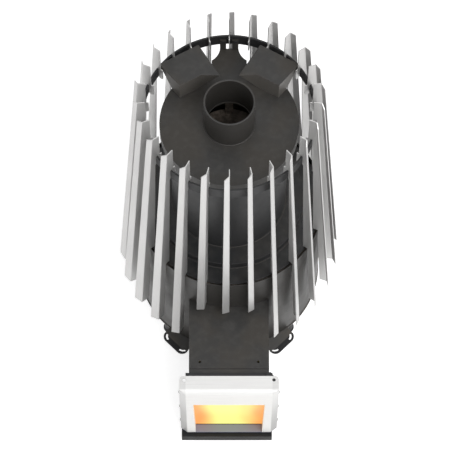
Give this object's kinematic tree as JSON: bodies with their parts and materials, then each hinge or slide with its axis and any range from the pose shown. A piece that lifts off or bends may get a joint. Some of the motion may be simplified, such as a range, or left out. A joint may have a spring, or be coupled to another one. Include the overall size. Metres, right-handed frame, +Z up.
{
  "type": "sauna heater stove",
  "caption": "Wood-fired sauna stove: drum firebox inside a cage of leaning folded steel slats that holds the stones, with a fuel tunnel to a glazed hinged door and an ash drawer.",
  "frame": {"origin": "on the floor plane, on the axis of the flue collar, drum and cage", "axes": "+Z up along the flue, -Y towards the door and ash drawer, +X towards the door's hinge"},
  "size_m": [0.545, 0.7379, 0.9761],
  "materials": {
    "black_steel": "heat-resistant matt black paint",
    "charcoal_steel": "heat-resistant satin charcoal paint",
    "fired_steel": "steel darkened by heat",
    "cast_grate": "rough cast",
    "plain_steel": "plain zinc-grey steel",
    "satin_stainless": "satin stainless sheet",
    "bright_stainless": "bright satin stainless sheet",
    "fire_glass": "clear heat-proof glass",
    "gasket_rope": "woven glass-fibre tape",
    "seal_rope": "woven glass-fibre rope"
  },
  "bodies": {
    "stove": {"base_plate": "black_steel", "support_legs": "black_steel", "foot_plates": "black_steel", "outer_casing": "charcoal_steel", "firebox_wall": "fired_steel", "stone_shelf": "charcoal_steel", "firebox_crown": "charcoal_steel", "fire_grate": "cast_grate", "smoke_drum": "charcoal_steel", "flame_baffle": "fired_steel", "top_plate": "charcoal_steel", "flue_collar": "charcoal_steel", "cage_ring": "black_steel", "ring_bracket_left": "charcoal_steel", "ring_bracket_right": "charcoal_steel", "ring_rivets": "plain_steel", "slats_long": "satin_stainless", "slats_short": "satin_stainless", "fuel_tunnel": "charcoal_steel", "portal_flange": "black_steel", "hinge_ears": "black_steel", "hinge_pins": "black_steel", "ash_channel": "black_steel"},
    "drawer": {"ash_tray": "charcoal_steel", "drawer_front": "black_steel", "drawer_rivets": "plain_steel"},
    "door": {"door_shell": "bright_stainless", "door_frame": "black_steel", "door_sill": "bright_stainless", "window_reveal": "bright_stainless", "door_glass": "fire_glass", "glass_gasket": "gasket_rope", "glass_clips": "plain_steel", "rope_seal": "seal_rope", "door_screws": "plain_steel", "latch_pin": "plain_steel"},
    "latch": {"latch_hook": "black_steel"}
  },
  "joints": [
    {"name": "door_hinge", "type": "hinge", "parent": "stove", "child": "door", "pos_m": [0.107, -0.421, 0.2], "axis": [0, 0, 1], "range_deg": [0, 110]},
    {"name": "door_latch", "type": "hinge", "parent": "door", "child": "latch", "pos_m": [-0.107, -0.421, 0.22], "axis": [0, 0, 1], "range_deg": [0, 20]},
    {"name": "ash_drawer", "type": "slide", "parent": "stove", "child": "drawer", "axis": [0, -1, 0], "range_m": [0, 0.3]}
  ]
}
